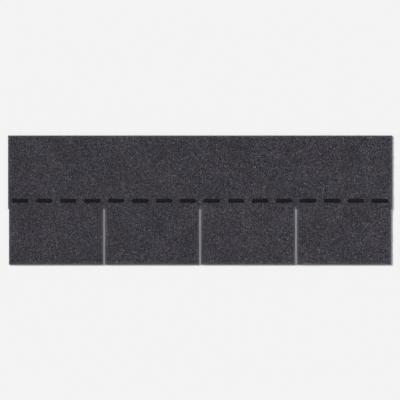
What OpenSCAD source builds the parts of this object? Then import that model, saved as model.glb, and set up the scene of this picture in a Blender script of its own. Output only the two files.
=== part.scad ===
// Four-tab asphalt strip shingle, lying flat with its granule face up.
// X runs along the course, Y runs from the butt edge up to the top edge, and Z rises from
// the back face. The origin is the middle of the back face. All sizes are in millimetres.

/* [Strip] */
// Length of the strip along the course
strip_length = 1000; // [700:10:1300]
// Height of the strip from its butt edge to its top edge
strip_height = 336; // [300:1:420]
// Thickness of the coated sheet, granules included
sheet_thickness = 3; // [2:0.1:6]

/* [Tabs] */
// Number of tabs along the butt edge
tab_count = 4; // [2:1:6]
// Height of the band that stays in view once the next course is laid
exposure = 141; // [100:1:160]
// Width of the slot between two tabs
slot_width = 5; // [3:0.5:12]
// How far a slot runs up under the next course
slot_overrun = 4; // [0:0.5:12]

/* [Sealant] */
// Length of one sealant dash, round ends included
dash_length = 45; // [25:1:80]
// Width of one sealant dash
dash_width = 12; // [6:0.5:20]
// Height of a dash's crown above the granule face
dash_height = 0.8; // [0.4:0.1:2]
// Gap between two dashes
dash_gap = 17.5; // [8:0.5:40]
// Distance from the exposed band up to the middle of the dashes
dash_setback = 25; // [24:1:50]

/* [Hidden] */
$fn = 64;

// Colours of the granule face and of the bitumen sealant
granule_charcoal = [0.25, 0.24, 0.27];
bitumen_black = [0.06, 0.06, 0.065];

// The two long edges
butt_edge_y = -strip_height / 2;
exposed_edge_y = butt_edge_y + exposure;

// One tab runs from the middle of a slot to the middle of the next
tab_pitch = strip_length / tab_count;
slot_depth = exposure + slot_overrun;
slot_head_r = slot_width / 2;

// A cut runs this far past the edge that it opens, so that no skin is left there
cut_margin = 1;

// The dashes run on from strip to strip, so each end keeps about half a gap
dash_pitch = dash_length + dash_gap;
dash_count = floor((strip_length + dash_gap) / dash_pitch);
dash_line_y = exposed_edge_y + dash_setback;
dash_straight = dash_length - dash_width;

// A dash's section is the top of a circle that is dash_width across at the sheet. The crown
// is so low that a few flats on each side of its middle follow that circle closely.
crown_r = (pow(dash_width / 2, 2) + pow(dash_height, 2)) / (2 * dash_height);
crown_flats = 5;
function crown_z(x) = sqrt(pow(crown_r, 2) - pow(x, 2)) - crown_r + dash_height;

// Outline of one slot, from below the butt edge up to its round head. Its middle is at x = 0.
module slot_outline() {
    translate([-slot_width / 2, butt_edge_y - cut_margin])
        square([slot_width, slot_depth - slot_head_r + cut_margin]);
    translate([0, butt_edge_y + slot_depth - slot_head_r])
        circle(r = slot_head_r);
}

// The whole strip. The first and the last slot are cut by the strip's ends, which leaves
// half a slot at each end, so that two strips butted together share one full slot.
module strip_outline() {
    difference() {
        square([strip_length, strip_height], center = true);
        for (i = [0 : tab_count])
            translate([i * tab_pitch - strip_length / 2, 0])
                slot_outline();
    }
}

module shingle_sheet() {
    color(granule_charcoal)
        linear_extrude(height = sheet_thickness)
            strip_outline();
}

// Half of a dash's section, with the crown on the Y axis and the sheet's face at y = 0
module half_dash_section() {
    flat_step = dash_width / 2 / crown_flats;
    crown = [for (i = [crown_flats - 1 : -1 : 0]) [i * flat_step, crown_z(i * flat_step)]];
    polygon(concat([[0, 0], [dash_width / 2, 0]], crown));
}

// One domed end of a dash: the half section turned through a half circle
module dash_end() {
    rotate([0, 0, -90])
        rotate_extrude(angle = 180)
            half_dash_section();
}

// One hot-laid dash of sealant, along X, with its flat face at z = 0
module dash() {
    rotate([90, 0, 90])
        linear_extrude(height = dash_straight, center = true) {
            half_dash_section();
            mirror([1, 0])
                half_dash_section();
        }
    for (side = [0, 1])
        mirror([side, 0, 0])
            translate([dash_straight / 2, 0, 0])
                dash_end();
}

// The row of dashes that glues down the tabs of the next course
module sealant_dashes() {
    color(bitumen_black)
        for (i = [0 : dash_count - 1])
            translate([(i - (dash_count - 1) / 2) * dash_pitch, dash_line_y, sheet_thickness])
                dash();
}

shingle_sheet();
sealant_dashes();
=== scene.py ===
# Looks of a four-tab asphalt strip shingle that lies flat with its granule face up.
# X runs along the course, Y from the butt edge to the top edge, Z up. Lengths are in metres.
import math

import bpy
import numpy as np
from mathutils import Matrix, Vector


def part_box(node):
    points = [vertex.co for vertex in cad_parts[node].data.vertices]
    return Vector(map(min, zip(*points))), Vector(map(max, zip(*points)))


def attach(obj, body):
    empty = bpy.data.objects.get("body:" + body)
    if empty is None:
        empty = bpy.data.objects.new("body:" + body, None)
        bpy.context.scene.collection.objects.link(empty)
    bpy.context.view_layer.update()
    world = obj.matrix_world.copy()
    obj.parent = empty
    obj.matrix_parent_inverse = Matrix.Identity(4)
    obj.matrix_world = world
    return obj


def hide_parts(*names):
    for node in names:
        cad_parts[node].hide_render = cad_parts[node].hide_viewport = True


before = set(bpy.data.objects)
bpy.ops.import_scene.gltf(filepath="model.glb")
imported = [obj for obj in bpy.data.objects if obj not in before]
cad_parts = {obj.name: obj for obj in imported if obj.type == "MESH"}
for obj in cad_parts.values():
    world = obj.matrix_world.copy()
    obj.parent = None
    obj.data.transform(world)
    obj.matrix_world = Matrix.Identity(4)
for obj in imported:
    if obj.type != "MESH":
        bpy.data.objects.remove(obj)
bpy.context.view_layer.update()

MM = 0.001
SEED = 20

# The strip, from the frame, and its cut-outs
sheet_low, sheet_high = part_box("shingle_sheet")
dash_low, dash_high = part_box("sealant_dashes")
STRIP_LENGTH = sheet_high.x - sheet_low.x
STRIP_HEIGHT = sheet_high.y - sheet_low.y
SHEET_TOP = sheet_high.z
TAB_COUNT = 4
TAB_PITCH = STRIP_LENGTH / TAB_COUNT
SLOT_RADIUS = 2.5 * MM
SLOT_DEPTH = 145 * MM
SLOT_TOP_Y = sheet_low.y + SLOT_DEPTH
SLOT_HEAD_Y = SLOT_TOP_Y - SLOT_RADIUS

# The coated sheet under the granules. Its cut edges are ragged loops at WALL_LEVELS, which are shares of
# the way from the back up to the bed.
BED_DEPTH = 0.8 * MM
BED_Z = SHEET_TOP - BED_DEPTH
WALL_STEP = 2.5 * MM
WALL_LEVELS = (0.0, 0.3, 0.65, 1.0)
WALL_RAGGED = 0.12 * MM
HEAD_POINTS = 9
BED_SLOT, BACK_SLOT, EDGE_SLOT = range(3)

# Places of the granules: a lattice, shaken by up to GRANULE_JITTER of its spacing. Crowded places then push
# each other away. A granule's middle stays EDGE_KEEP of its radius inside the cut edges, and places that
# lack up to EDGE_PULL of that are drawn in.
GRANULE_SPACING = 1.81 * MM
ROW_STARTS = np.array((0.25, 0.75))
GRANULE_JITTER = 0.9
SETTLE_STEPS = 6
SETTLE_SHARE = 0.3
SETTLE_REACH = 2
EDGE_KEEP = 0.62
EDGE_PULL = 1.1 * MM
EDGE_STEP = 0.02 * MM

# The granules: flattened octahedra with corners that are off by up to GRANULE_UNEVEN of the radius. Sizes
# and widths are ranges of shares of the radius. Granules near a cut edge are painted paler as a highlight,
# fully up to the first of the two reaches below and fading out by the second.
CHIP_CORNERS = np.array([(1, 0, 0), (0, 1, 0), (-1, 0, 0), (0, -1, 0), (0, 0, 1), (0, 0, -1)])
CHIP_FACES = np.array([
    (4, 0, 1), (4, 1, 2), (4, 2, 3), (4, 3, 0),
    (5, 1, 0), (5, 2, 1), (5, 3, 2), (5, 0, 3),
])
GRANULE_UNEVEN = 0.36
GRANULE_RADIUS = 1.18 * MM
GRANULE_SIZES = (0.7, 1.28)
GRANULE_WIDTHS = (0.75, 1.05)
GRANULE_HEIGHT = 0.72 * MM
GRANULE_SINK = (0.0, 0.25 * MM)
SHADE_MIDDLE = 0.5
SHADE_SPREAD = 0.235
HIGHLIGHT_FULL_REACH = 3.2 * MM
HIGHLIGHT_END_REACH = 5.8 * MM

# The sealant dashes: rings of points from the rim, in among the granules, up to the crown. Granules deeper
# than DASH_COVERS inside a dash are left out. Rims bulge in waves, and skins dip by up to SKIN_DIP.
DASH_COUNT = 16
DASH_LENGTH = 45 * MM
DASH_WIDTH = dash_high.y - dash_low.y
DASH_STRAIGHT = DASH_LENGTH - DASH_WIDTH
DASH_LINE_Y = (dash_high.y + dash_low.y) / 2
DASH_CROWN = dash_high.z - dash_low.z
DASH_PITCH = (dash_high.x - dash_low.x - DASH_LENGTH) / (DASH_COUNT - 1)
DASH_COVERS = 2.2 * MM
DASH_RING_POINTS = 84
DASH_RINGS = 8
LAST_RING_TURN = 0.95 * math.pi / 2
RIM_INSET = 0.3 * MM
RIM_Z = SHEET_TOP - 0.3 * MM
RIM_WAVES = (2, 3, 5, 8, 13)
RIM_WAVE_SIZES = (0.15 * MM, 0.5 * MM)
SKIN_CROWN = 1.45 * DASH_CROWN
SKIN_DIP = 0.6
SKIN_WAVES = 9
SKIN_WAVE_LENGTHS = (2.6 * MM, 9 * MM)

# The studio. World and key together light a level face at 1, so that colours render as written.
FLOOR_SIZE = 80.0
FLOOR_DROP = 0.2 * MM
FLOOR_COLOUR = (0.9, 0.9, 0.9, 1)
FLOOR_ROUGHNESS = 1.0
WORLD_LEVEL = 0.34
WORLD_SEEN_LEVEL = 1.0
WORLD_COLOUR = (1, 1, 1, 1)
KEY_LEVEL = 0.66
KEY_FROM = Vector((-0.8, 0.5, 0.4))
KEY_SPREAD = math.radians(14)

# The camera looks straight down, with the butt edge at the bottom of the picture
CAMERA_LENS = 100.0
CAMERA_SENSOR = 36.0
STRIP_SHARE_OF_FRAME = 0.96

# Ranges that the materials share. Most of a noise's values lie in NOISE_RANGE.
UNIT_RANGE = (0.0, 1.0)
NOISE_RANGE = (0.3, 0.7)

# Sockets of a Mix node that mixes colours
MIX_FACTOR, MIX_FIRST, MIX_SECOND = 0, 6, 7
MIX_RESULT = 2


def add_node(tree, kind, inputs=None, **settings):
    """A new shader node. An input that is given a socket is linked to it, and else set."""
    made = tree.nodes.new("ShaderNode" + kind)
    for name, value in settings.items():
        setattr(made, name, value)
    for name, value in (inputs or {}).items():
        if isinstance(value, bpy.types.NodeSocket):
            tree.links.new(value, made.inputs[name])
        else:
            made.inputs[name].default_value = value
    return made


def ramp(tree, factor, stops):
    """The colour output of a ramp through stops, each a place and a colour."""
    made = add_node(tree, "ValToRGB", {"Fac": factor})
    elements = made.color_ramp.elements
    for place, _ in stops[len(elements):]:
        elements.new(place)
    for element, (place, colour) in zip(elements, stops):
        element.position = place
        element.color = (*colour, 1)
    return made.outputs["Color"]


def spread(tree, factor, source, target):
    """factor carried over from the range source to the range target, and held there."""
    ranges = {"From Min": source[0], "From Max": source[1], "To Min": target[0], "To Max": target[1]}
    return add_node(tree, "MapRange", {"Value": factor, **ranges}).outputs["Result"]


def mixed(tree, factor, first, second, blend="MIX"):
    """The colour from first at factor 0 to second, blended in, at factor 1."""
    inputs = {MIX_FACTOR: factor, MIX_FIRST: first, MIX_SECOND: second}
    return add_node(tree, "Mix", inputs, data_type="RGBA", blend_type=blend).outputs[MIX_RESULT]


def multiplied(tree, first, second):
    """The product of two colours."""
    return mixed(tree, 1.0, first, second, "MULTIPLY")


def noise(tree, place, scale, detail):
    """The value of a noise with scale waves per metre."""
    return add_node(tree, "TexNoise", {"Vector": place, "Scale": scale, "Detail": detail}).outputs["Fac"]


def object_place(tree):
    """The place of each point in the strip's frame."""
    return add_node(tree, "TexCoord").outputs["Object"]


def new_material(name, specular):
    """A material with its node tree and its Principled shader."""
    material = bpy.data.materials.new(name)
    material.use_nodes = True
    shader = material.node_tree.nodes["Principled BSDF"]
    shader.inputs["Specular IOR Level"].default_value = specular
    return material, material.node_tree, shader


def coat(tree, shader, colour, roughness):
    """Gives the shader its colour and roughness."""
    tree.links.new(colour, shader.inputs["Base Color"])
    tree.links.new(roughness, shader.inputs["Roughness"])


def relief(tree, shader, height, size, invert=False):
    """A bump on the shader, of the strength and depth that size gives."""
    bump = add_node(tree, "Bump", {"Height": height, **size}, invert=invert)
    tree.links.new(bump.outputs["Normal"], shader.inputs["Normal"])


# Soft, large patches of a coated batch: lighter and darker, cooler and warmer
PATCH_SCALE = 12.0
PATCH_TONES = ((0.3, (0.84, 0.84, 0.84)), (0.7, (1.16, 1.16, 1.16)))
HUE_SCALE = 9.0
HUE_TONES = ((0.35, (0.97, 0.99, 1.04)), (0.65, (1.03, 1.0, 0.99)))


def blotched(tree, place, colour):
    """colour with the patches of a coated batch."""
    patches = ramp(tree, noise(tree, place, PATCH_SCALE, detail=2.0), PATCH_TONES)
    hues = ramp(tree, noise(tree, place, HUE_SCALE, detail=1.0), HUE_TONES)
    return multiplied(tree, multiplied(tree, colour, patches), hues)


# Granules, darkest to palest, their mottled coating, and the painted highlight along the cut edges
GRANULE_SPECULAR = 0.22
GRANULE_SHADES = (
    (0.0, (0.0022, 0.0020, 0.0031)),
    (0.25, (0.0142, 0.0130, 0.0185)),
    (0.5, (0.0565, 0.0519, 0.0664)),
    (0.75, (0.1035, 0.0957, 0.1170)),
    (0.97, (0.143, 0.134, 0.157)),
    (1.0, (0.25, 0.2355, 0.27)),
)
# The pale colour of the painted highlight on granules by the cut edges
PAINTED_HIGHLIGHT_COLOUR = (0.17, 0.164, 0.18, 1)
PAINTED_HIGHLIGHT_SHARES = (0.0, 0.42)
COATING_SCALE = 1700.0
COATING_TONES = ((0.32, (0.66, 0.66, 0.66)), (0.68, (1.34, 1.34, 1.34)))
COATING_ROUGHNESS = (0.62, 0.94)


def granule_material():
    """Ceramic-coated crushed stone, each granule its own shade, with a painted highlight by the cut edges.
    """
    material, tree, shader = new_material("granules", GRANULE_SPECULAR)
    place = object_place(tree)
    shade = add_node(tree, "Attribute", attribute_name="shade").outputs["Fac"]
    painted_highlight = add_node(tree, "Attribute", attribute_name="painted_highlight").outputs["Fac"]
    stone = ramp(tree, shade, GRANULE_SHADES)
    # Granules near a cut edge are mixed towards a pale colour: a painted highlight
    highlighted = mixed(tree, spread(tree, painted_highlight, UNIT_RANGE, PAINTED_HIGHLIGHT_SHARES), stone, PAINTED_HIGHLIGHT_COLOUR)
    coating = noise(tree, place, COATING_SCALE, detail=3.0)
    mottled = multiplied(tree, highlighted, ramp(tree, coating, COATING_TONES))
    roughness = spread(tree, coating, NOISE_RANGE, COATING_ROUGHNESS)
    coat(tree, shader, blotched(tree, place, mottled), roughness)
    return material


# The bed, from its darkest grain to its palest. BED_GRAINS is in grains per metre.
BED_SPECULAR = 0.25
BED_GRAINS = 1400.0
BED_SHADES = (
    (0.0, (0.010, 0.0095, 0.011)),
    (0.55, (0.022, 0.0205, 0.025)),
    (1.0, (0.060, 0.056, 0.068)),
)
BED_ROUGHNESS = (0.6, 0.9)
BED_RELIEF = {"Strength": 0.8, "Distance": 0.3 * MM}


def bed_material():
    """The coating between the granules: bitumen full of mineral dust and broken grains."""
    material, tree, shader = new_material("granule_bed", BED_SPECULAR)
    place = object_place(tree)
    grains = add_node(tree, "TexVoronoi", {"Vector": place, "Scale": BED_GRAINS}).outputs
    shade = add_node(tree, "SeparateColor", {"Color": grains["Color"]}).outputs["Red"]
    colour = blotched(tree, place, ramp(tree, shade, BED_SHADES))
    coat(tree, shader, colour, spread(tree, shade, UNIT_RANGE, BED_ROUGHNESS))
    relief(tree, shader, grains["Distance"], BED_RELIEF, invert=True)
    return material


# Layers of the cut edge, from the back up to the bed, and how far a tear shifts them
EDGE_SPECULAR = 0.4
EDGE_BITUMEN = (0.011, 0.0105, 0.0115)
EDGE_LAYERS = (
    (0.06, (0.045, 0.043, 0.043)),
    (0.16, EDGE_BITUMEN),
    (0.46, EDGE_BITUMEN),
    (0.52, (0.045, 0.043, 0.040)),
    (0.58, EDGE_BITUMEN),
    (0.95, (0.020, 0.019, 0.021)),
)
TEAR_SCALE = 420.0
TEAR_SHIFTS = (-0.09, 0.09)
CRUMB_SCALE = 1500.0
CRUMB_TONES = ((0.35, (0.6, 0.6, 0.6)), (0.72, (1.7, 1.65, 1.7)))
EDGE_ROUGHNESS = (0.38, 0.7)
EDGE_RELIEF = {"Strength": 0.7, "Distance": 0.25 * MM}


def cut_edge_material():
    """The cut through the sheet: sanded back, bitumen, the pale line of the glass mat, bitumen."""
    material, tree, shader = new_material("cut_edge", EDGE_SPECULAR)
    place = object_place(tree)
    height = add_node(tree, "SeparateXYZ", {"Vector": place}).outputs["Z"]
    level = spread(tree, height, (sheet_low.z, BED_Z), UNIT_RANGE)
    tear = noise(tree, place, TEAR_SCALE, detail=3.0)
    shift = spread(tree, tear, NOISE_RANGE, TEAR_SHIFTS)
    shifted = add_node(tree, "Math", {0: shift, 1: level}, operation="ADD").outputs["Value"]
    crumbs = noise(tree, place, CRUMB_SCALE, detail=2.0)
    colour = multiplied(tree, ramp(tree, shifted, EDGE_LAYERS), ramp(tree, crumbs, CRUMB_TONES))
    coat(tree, shader, colour, spread(tree, tear, NOISE_RANGE, EDGE_ROUGHNESS))
    relief(tree, shader, crumbs, EDGE_RELIEF)
    return material


# Sand on the back, from its darkest grain to its palest, and the streaks there, drawn out along X
BACK_SPECULAR = 0.3
SAND_GRAINS = 1900.0
SAND_SHADES = (
    (0.0, (0.016, 0.0155, 0.016)),
    (0.6, (0.042, 0.040, 0.040)),
    (1.0, (0.13, 0.125, 0.118)),
)
STREAK_SCALES = (3.0, 60.0, 1.0)
STREAK_TONES = ((0.3, (0.9, 0.9, 0.9)), (0.7, (1.1, 1.1, 1.1)))
SAND_ROUGHNESS = (0.7, 0.95)
SAND_RELIEF = {"Strength": 0.6, "Distance": 0.2 * MM}


def back_material():
    """The back: bitumen dusted with fine sand, with faint streaks along the web it was made on."""
    material, tree, shader = new_material("sanded_back", BACK_SPECULAR)
    place = object_place(tree)
    grains = add_node(tree, "TexVoronoi", {"Vector": place, "Scale": SAND_GRAINS}).outputs
    shade = add_node(tree, "SeparateColor", {"Color": grains["Color"]}).outputs["Green"]
    drawn_out = add_node(tree, "Mapping", {"Vector": place, "Scale": STREAK_SCALES}).outputs["Vector"]
    streaks = noise(tree, drawn_out, scale=1.0, detail=4.0)
    colour = multiplied(tree, ramp(tree, shade, SAND_SHADES), ramp(tree, streaks, STREAK_TONES))
    coat(tree, shader, colour, spread(tree, shade, UNIT_RANGE, SAND_ROUGHNESS))
    relief(tree, shader, grains["Distance"], SAND_RELIEF, invert=True)
    return material


# Sealant, from clean to dusty, and its skin
SEALANT_SPECULAR = 0.03
DUST_SCALE = 1300.0
DUST_SHADES = (
    (0.42, (0.0065, 0.0062, 0.0066)),
    (0.6, (0.013, 0.0125, 0.013)),
    (0.74, (0.055, 0.053, 0.055)),
)
SKIN_SCALE = 300.0
SKIN_ROUGHNESS = (0.58, 0.92)
SKIN_RELIEF = {"Strength": 0.5, "Distance": 0.6 * MM}


def sealant_material():
    """Hot-laid bitumen: black, with a skin that set unevenly and took some dust."""
    material, tree, shader = new_material("sealant", SEALANT_SPECULAR)
    place = object_place(tree)
    skin = noise(tree, place, SKIN_SCALE, detail=4.0)
    dust = noise(tree, place, DUST_SCALE, detail=2.0)
    coat(tree, shader, ramp(tree, dust, DUST_SHADES), spread(tree, skin, NOISE_RANGE, SKIN_ROUGHNESS))
    relief(tree, shader, skin, SKIN_RELIEF)
    return material


def edge_distance(x, y):
    """How far inside the strip's cut edges each point is. It is negative outside them."""
    to_rim = np.minimum(STRIP_LENGTH / 2 - np.abs(x), STRIP_HEIGHT / 2 - np.abs(y))
    across = np.abs((x - sheet_low.x + TAB_PITCH / 2) % TAB_PITCH - TAB_PITCH / 2)
    above = np.maximum(y - SLOT_HEAD_Y, 0)
    return np.minimum(to_rim, np.hypot(across, above) - SLOT_RADIUS)


def dash_middles():
    """The X of the middle of each sealant dash."""
    return dash_low.x + DASH_LENGTH / 2 + DASH_PITCH * np.arange(DASH_COUNT)


def dash_depth(x, y):
    """How far inside the nearest sealant dash each point is. It is negative outside them."""
    beside = x[..., None] - dash_middles()
    past_straight = np.maximum(np.abs(beside) - DASH_STRAIGHT / 2, 0).min(-1)
    return DASH_WIDTH / 2 - np.hypot(past_straight, y - DASH_LINE_Y)


def new_object(mesh, materials):
    """A piece of the strip from a mesh, with its materials and its slot in the record."""
    piece = bpy.data.objects.new(mesh.name, mesh)
    bpy.context.scene.collection.objects.link(piece)
    for material in materials:
        mesh.materials.append(material)
    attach(piece, "root")
    return piece


def mesh_from_arrays(name, vertices, faces):
    """A mesh from arrays of corners and of faces that all have equally many corners."""
    mesh = bpy.data.meshes.new(name)
    faces = np.asarray(faces, np.int32)
    mesh.vertices.add(len(vertices))
    mesh.vertices.foreach_set("co", np.asarray(vertices, np.float32).ravel())
    mesh.loops.add(faces.size)
    mesh.loops.foreach_set("vertex_index", faces.ravel())
    mesh.polygons.add(len(faces))
    mesh.polygons.foreach_set("loop_start", np.arange(0, faces.size, faces.shape[1], dtype=np.int32))
    mesh.update(calc_edges=True)
    return mesh


def band_faces(count, low, high):
    """The faces between two closed loops of count points, which start at the points low and high."""
    index = np.arange(count)
    after = np.roll(index, -1)
    return np.stack([low + index, low + after, high + after, high + index], 1).tolist()


def head_point(middle_x, turn):
    """A point on the round head of the slot at middle_x."""
    return middle_x + SLOT_RADIUS * math.cos(turn), SLOT_HEAD_Y + SLOT_RADIUS * math.sin(turn)


def outline_corners():
    """The strip's outline, anticlockwise from the first tab's butt edge, with the slots' round heads."""
    corners = []
    for tab in range(TAB_COUNT):
        left = sheet_low.x + tab * TAB_PITCH
        corners.append((left + SLOT_RADIUS, sheet_low.y))
        corners.append((left + TAB_PITCH - SLOT_RADIUS, sheet_low.y))
        if tab < TAB_COUNT - 1:
            for turn in np.linspace(math.pi, 0, HEAD_POINTS):
                corners.append(head_point(left + TAB_PITCH, turn))
    for turn in np.linspace(math.pi, math.pi / 2, HEAD_POINTS // 2 + 1):
        corners.append(head_point(sheet_high.x, turn))
    corners.append((sheet_high.x, sheet_high.y))
    corners.append((sheet_low.x, sheet_high.y))
    for turn in np.linspace(math.pi / 2, 0, HEAD_POINTS // 2 + 1):
        corners.append(head_point(sheet_low.x, turn))
    return np.array(corners)


def stepped(corners, step):
    """A closed outline with points about step apart."""
    points = []
    for start, end in zip(corners, np.roll(corners, -1, axis=0)):
        count = max(1, round(np.linalg.norm(end - start) / step))
        points.extend(start + (end - start) * share for share in np.arange(count) / count)
    return np.array(points)


def build_sheet(rng):
    """The coated sheet: bed, back and cut edges that are a little ragged."""
    outline = stepped(outline_corners(), WALL_STEP)
    count = len(outline)
    loops = []
    for level in WALL_LEVELS:
        ragged = outline + rng.uniform(-WALL_RAGGED, WALL_RAGGED, outline.shape)
        heights = np.full((count, 1), sheet_low.z + level * (BED_Z - sheet_low.z))
        loops.append(np.hstack([ragged, heights]))
    top = (len(WALL_LEVELS) - 1) * count
    bed = list(range(top, top + count))
    back = list(reversed(range(count)))
    walls = []
    for low in range(0, top, count):
        walls.extend(band_faces(count, low, low + count))
    mesh = bpy.data.meshes.new("coated_sheet")
    mesh.from_pydata(np.vstack(loops).tolist(), [], [bed, back, *walls])
    mesh.polygons.foreach_set("material_index", [BED_SLOT, BACK_SLOT] + [EDGE_SLOT] * len(walls))
    mesh.update()
    materials = [bed_material(), back_material(), cut_edge_material()]
    sheet = new_object(mesh, materials)
    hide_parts("shingle_sheet")


def settled(places):
    """Rows of places that have pushed their neighbours away until few are crowded."""
    reach = range(-SETTLE_REACH, SETTLE_REACH + 1)
    neighbours = [(down, right) for down in reach for right in reach if down or right]
    for _ in range(SETTLE_STEPS):
        push = np.zeros_like(places)
        for neighbour in neighbours:
            apart = places - np.roll(places, neighbour, axis=(0, 1))
            distance = np.linalg.norm(apart, axis=2, keepdims=True)
            push += apart / distance * np.maximum(GRANULE_SPACING - distance, 0)
        places = places + SETTLE_SHARE * push
    return places


def drawn_in(x, y, margin):
    """Places moved straight in from the cut edges until they are margin inside them."""
    inward_x = edge_distance(x + EDGE_STEP, y) - edge_distance(x - EDGE_STEP, y)
    inward_y = edge_distance(x, y + EDGE_STEP) - edge_distance(x, y - EDGE_STEP)
    pull = np.maximum(margin - edge_distance(x, y), 0) / (2 * EDGE_STEP)
    return x + inward_x * pull, y + inward_y * pull


def granule_sites(rng):
    """Places for the granules, close together but in no order, with the radius of each."""
    row_step = GRANULE_SPACING * math.sqrt(3) / 2
    rows = int(STRIP_HEIGHT / row_step)
    columns = int(STRIP_LENGTH / GRANULE_SPACING)
    row, column = np.mgrid[0:rows, 0:columns]
    x = sheet_low.x + (column + ROW_STARTS[row % 2]) * GRANULE_SPACING
    y = sheet_low.y + (row + 0.5) * row_step
    lattice = np.stack([x, y], 2)
    shaken = lattice + rng.uniform(-GRANULE_JITTER, GRANULE_JITTER, lattice.shape) * GRANULE_SPACING
    x, y = settled(shaken).reshape(-1, 2).T
    radius = GRANULE_RADIUS * rng.uniform(*GRANULE_SIZES, x.size)
    margin = EDGE_KEEP * radius
    kept = edge_distance(x, y) > margin - EDGE_PULL
    x, y = drawn_in(x, y, margin)
    kept &= (edge_distance(x, y) > margin - EDGE_STEP) & (dash_depth(x, y) < DASH_COVERS)
    return x[kept], y[kept], radius[kept]


def random_turns(rng, count):
    """Rotation matrices of turns drawn evenly from all there are, by way of unit quaternions."""
    drawn = rng.normal(size=(4, count))
    w, x, y, z = drawn / np.linalg.norm(drawn, axis=0)
    rows = [
        [1 - 2 * (y * y + z * z), 2 * (x * y - z * w), 2 * (x * z + y * w)],
        [2 * (x * y + z * w), 1 - 2 * (x * x + z * z), 2 * (y * z - x * w)],
        [2 * (x * z - y * w), 2 * (y * z + x * w), 1 - 2 * (x * x + y * y)],
    ]
    return np.array(rows).transpose(2, 0, 1)


def chip_corners(rng, x, y, radius):
    """The corners of a crushed chip at each place, flattened and partly sunk in the bed."""
    count = len(x)
    corners = CHIP_CORNERS + rng.uniform(-GRANULE_UNEVEN, GRANULE_UNEVEN, (count, *CHIP_CORNERS.shape))
    corners = corners @ random_turns(rng, count)
    widths = radius * rng.uniform(*GRANULE_WIDTHS, count)
    heights = GRANULE_HEIGHT * radius / GRANULE_RADIUS
    corners *= np.stack([radius, widths, heights], 1)[:, None, :]
    sink = rng.uniform(*GRANULE_SINK, count)
    z = SHEET_TOP - GRANULE_HEIGHT + GRANULE_SINK[1] - sink
    return corners + np.stack([x, y, z], 1)[:, None, :]


def build_granules(name, x, y, radius, shade, rng, material):
    """One patch of granules, each a closed mesh with a shade of its own, mapped as seen from above."""
    points = chip_corners(rng, x, y, radius).reshape(-1, 3)
    faces = (CHIP_FACES + len(CHIP_CORNERS) * np.arange(len(x))[:, None, None]).reshape(-1, 3)
    mesh = mesh_from_arrays(name, points, faces)
    new_object(mesh, [material])
    mesh.shade_flat()
    # Strength of the painted highlight on each granule, from its distance to the cut edges
    painted_highlight = np.clip((HIGHLIGHT_END_REACH - edge_distance(x, y)) / (HIGHLIGHT_END_REACH - HIGHLIGHT_FULL_REACH), 0, 1)
    for attribute, values in (("shade", shade), ("painted_highlight", painted_highlight)):
        layer = mesh.attributes.new(attribute, "FLOAT", "POINT")
        layer.data.foreach_set("value", np.repeat(values, len(CHIP_CORNERS)).astype(np.float32))
    plan = points[:, :2]
    low, high = plan.min(0), plan.max(0)
    seen_from_above = ((plan - low) / (high - low))[faces.ravel()]
    layout = mesh.uv_layers.new(name="OFBake")
    layout.uv.foreach_set("vector", seen_from_above.astype(np.float32).ravel())


def build_all_granules(rng):
    """A patch of granules for each tab, and one for the stretch of headlap above it."""
    material = granule_material()
    x, y, radius = granule_sites(rng)
    shade = rng.normal(SHADE_MIDDLE, SHADE_SPREAD, x.size).clip(0, 1)
    tab = ((x - sheet_low.x) // TAB_PITCH).clip(0, TAB_COUNT - 1)
    for number in range(TAB_COUNT):
        for part, in_part in (("tab", y < SLOT_TOP_Y), ("headlap", y >= SLOT_TOP_Y)):
            chosen = in_part & (tab == number)
            name = f"granules_{part}_{number + 1}"
            own = (values[chosen] for values in (x, y, radius, shade))
            build_granules(name, *own, rng, material)


def dash_outline():
    """Evenly spaced points round a dash: the X of its spine beside each, and the turn out from there."""
    half_spine = DASH_STRAIGHT / 2
    quarter = math.pi * DASH_WIDTH / 4
    stretches = np.cumsum([0, quarter, DASH_STRAIGHT, 2 * quarter, DASH_STRAIGHT, quarter])
    walked = np.linspace(0, stretches[-1], DASH_RING_POINTS, endpoint=False)
    spine_x = np.interp(walked, stretches, np.array([1, 1, -1, -1, 1, 1]) * half_spine)
    turn = np.interp(walked, stretches, np.array([0, 1, 1, 3, 3, 4]) * math.pi / 2)
    return spine_x, turn


def bead_faces():
    """The faces of one bead: its foot, its sides, and its crown from one side to the other."""
    count = DASH_RING_POINTS
    half = count // 2
    top = DASH_RINGS * count
    faces = [list(reversed(range(count)))]
    for low in range(0, top, count):
        faces.extend(band_faces(count, low, low + count))
    faces.append([top, top + 1, top + count - 1])
    for i in range(1, half - 1):
        faces.append([top + i, top + i + 1, top + count - i - 1, top + count - i])
    faces.append([top + half - 1, top + half, top + half + 1])
    return faces


def rim_bulges(rng, turn):
    """How far a bead's rim bulges out at each turn, as a sum of waves, the shorter the lower."""
    bulges = np.zeros_like(turn)
    for waves in RIM_WAVES:
        size = rng.uniform(*RIM_WAVE_SIZES) / waves
        start = rng.uniform(0, 2 * math.pi)
        bulges += size * np.cos(waves * turn + start)
    return bulges


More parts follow.
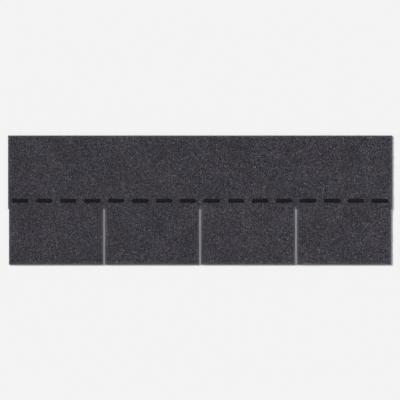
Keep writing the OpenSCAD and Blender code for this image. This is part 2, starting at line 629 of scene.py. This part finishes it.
def build_sealant(rng):
    """The sealant dashes: low domed beads with uneven rims and skins, sunk among the granules."""
    spine_x, turn = dash_outline()
    spine = np.stack([spine_x, np.zeros_like(turn)], 1)
    outward = np.stack([np.cos(turn), np.sin(turn)], 1)
    shares = np.cos(np.linspace(0, LAST_RING_TURN, DASH_RINGS))
    ways = rng.uniform(0, 2 * math.pi, SKIN_WAVES)
    lengths = rng.uniform(*SKIN_WAVE_LENGTHS, SKIN_WAVES)
    waves = np.stack([np.cos(ways), np.sin(ways)]) * 2 * math.pi / lengths
    vertices, faces = [], []
    for middle in dash_middles():
        reach = (DASH_WIDTH / 2 - RIM_INSET + rim_bulges(rng, turn))[:, None]
        place = (middle, DASH_LINE_Y)
        rings = [np.insert(place + spine + outward * reach, 2, BED_Z, axis=1)]
        for share in shares:
            ring = place + spine + outward * reach * share
            dips = (1 - np.cos(ring @ waves).mean(1)) / 2
            heights = RIM_Z + SKIN_CROWN * (1 - share**2) * (1 - SKIN_DIP * dips)
            rings.append(np.column_stack([ring, heights]))
        faces.extend([len(vertices) + corner for corner in face] for face in bead_faces())
        vertices.extend(np.vstack(rings).tolist())
    mesh = bpy.data.meshes.new("sealant_beads")
    mesh.from_pydata(vertices, [], faces)
    mesh.shade_smooth()
    beads = new_object(mesh, [sealant_material()])
    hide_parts("sealant_dashes")


def build_floor():
    """A pale floor, just under the strip."""
    half = FLOOR_SIZE / 2
    level = sheet_low.z - FLOOR_DROP
    mesh = bpy.data.meshes.new("floor")
    corners = [(-half, -half, level), (half, -half, level), (half, half, level), (-half, half, level)]
    mesh.from_pydata(corners, [], [(0, 1, 2, 3)])
    floor = bpy.data.objects.new("floor", mesh)
    bpy.context.scene.collection.objects.link(floor)
    material, _, shader = new_material("floor", specular=0.0)
    shader.inputs["Base Color"].default_value = FLOOR_COLOUR
    shader.inputs["Roughness"].default_value = FLOOR_ROUGHNESS
    mesh.materials.append(material)


def build_world():
    """An even world, white where it is seen directly, in a mirror or through glass."""
    world = bpy.data.worlds.new("studio")
    world.use_nodes = True
    tree = world.node_tree
    path = add_node(tree, "LightPath").outputs
    rays = {0: path["Is Glossy Ray"], 1: path["Is Transmission Ray"]}
    by_way = add_node(tree, "Math", rays, operation="MAXIMUM").outputs["Value"]
    rays = {0: path["Is Camera Ray"], 1: by_way}
    seen = add_node(tree, "Math", rays, operation="MAXIMUM").outputs["Value"]
    background = tree.nodes["Background"]
    background.inputs["Color"].default_value = WORLD_COLOUR
    level = spread(tree, seen, UNIT_RANGE, (WORLD_LEVEL, WORLD_SEEN_LEVEL))
    tree.links.new(level, background.inputs["Strength"])
    bpy.context.scene.world = world


def build_key_light():
    """One broad light from the upper left."""
    towards = KEY_FROM.normalized()
    light = bpy.data.lights.new("key", "SUN")
    light.energy = KEY_LEVEL * math.pi / towards.z
    light.angle = KEY_SPREAD
    lamp = bpy.data.objects.new("key", light)
    lamp.rotation_mode = "QUATERNION"
    lamp.rotation_quaternion = towards.to_track_quat("Z", "Y")
    bpy.context.scene.collection.objects.link(lamp)


def build_camera():
    """A long lens above the middle of the strip."""
    camera = bpy.data.cameras.new("camera")
    camera.lens = CAMERA_LENS
    camera.sensor_width = CAMERA_SENSOR
    width_in_view = STRIP_LENGTH / STRIP_SHARE_OF_FRAME
    middle = (sheet_low + sheet_high) / 2
    viewer = bpy.data.objects.new("camera", camera)
    viewer.location = (middle.x, middle.y, SHEET_TOP + width_in_view * CAMERA_LENS / CAMERA_SENSOR)
    bpy.context.scene.collection.objects.link(viewer)
    bpy.context.scene.camera = viewer


rng = np.random.default_rng(SEED)
build_camera()
build_floor()
build_world()
build_key_light()
build_sheet(rng)
build_all_granules(rng)
build_sealant(rng)
bpy.context.scene.view_settings.view_transform = "Standard"
